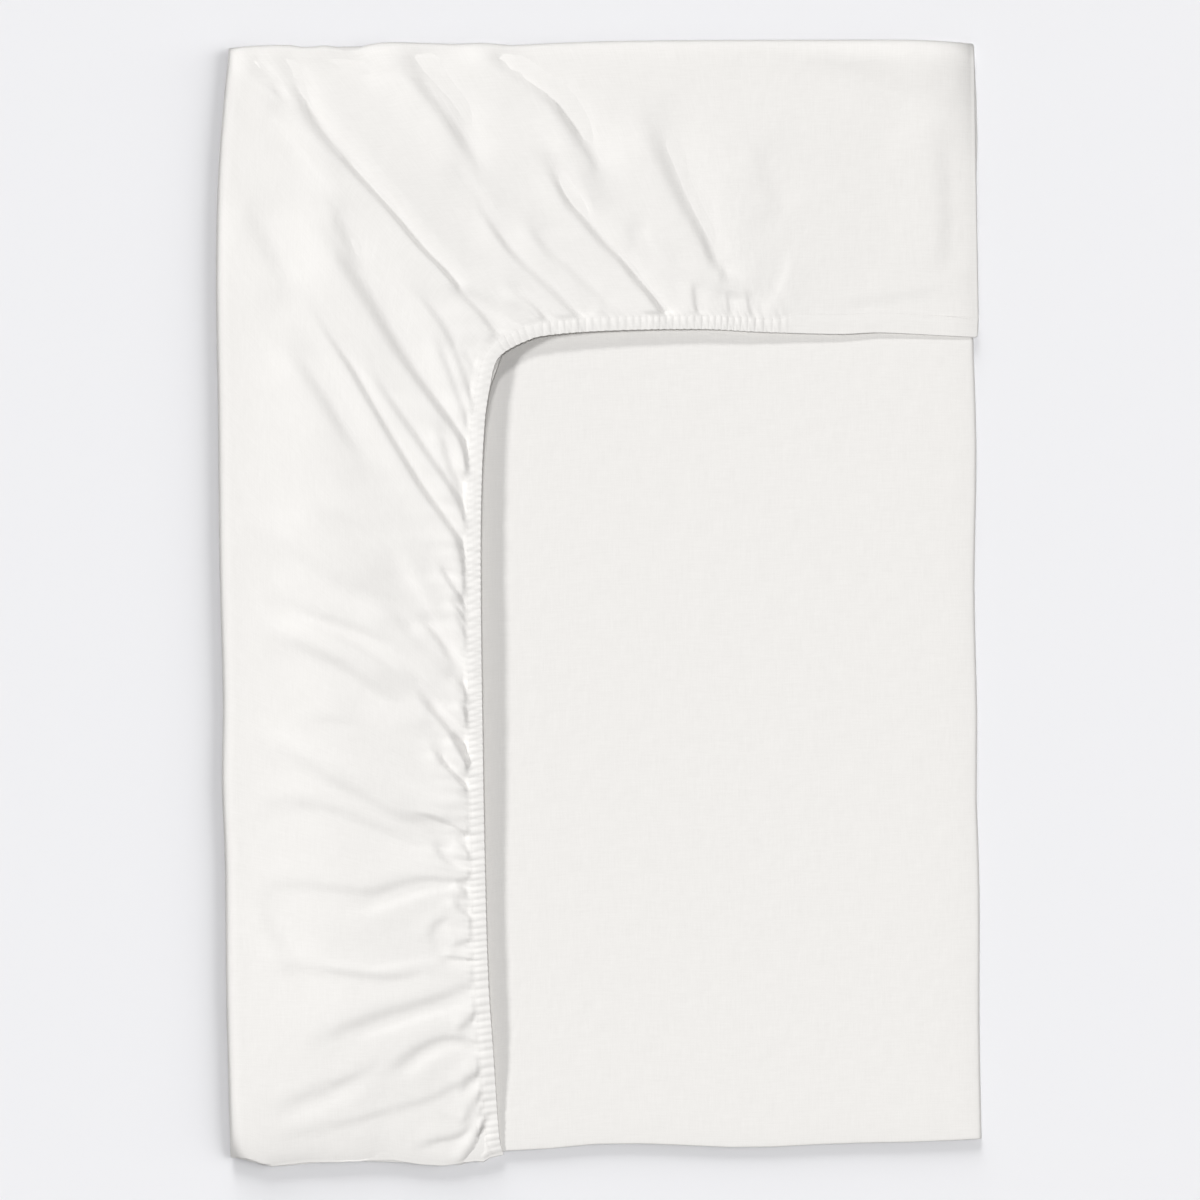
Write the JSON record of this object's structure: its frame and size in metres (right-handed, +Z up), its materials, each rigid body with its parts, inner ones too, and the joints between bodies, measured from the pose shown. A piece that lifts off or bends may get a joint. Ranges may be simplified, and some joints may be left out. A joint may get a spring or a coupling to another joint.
{
  "type": "folded mattress protector",
  "caption": "White cotton fitted mattress protector with elasticated corner pockets, folded in four and lying flat.",
  "frame": {"origin": "under the middle of the folded protector, on the surface that it lies on", "axes": "+Z up; +Y along its length, away from the viewer; +X along its width, away from the gathered band"},
  "size_m": [0.7134, 1.0462, 0.0231],
  "materials": {
    "cotton": "matt warm-white woven cotton"
  },
  "bodies": {
    "root": {"protector": "cotton"}
  },
  "joints": []
}
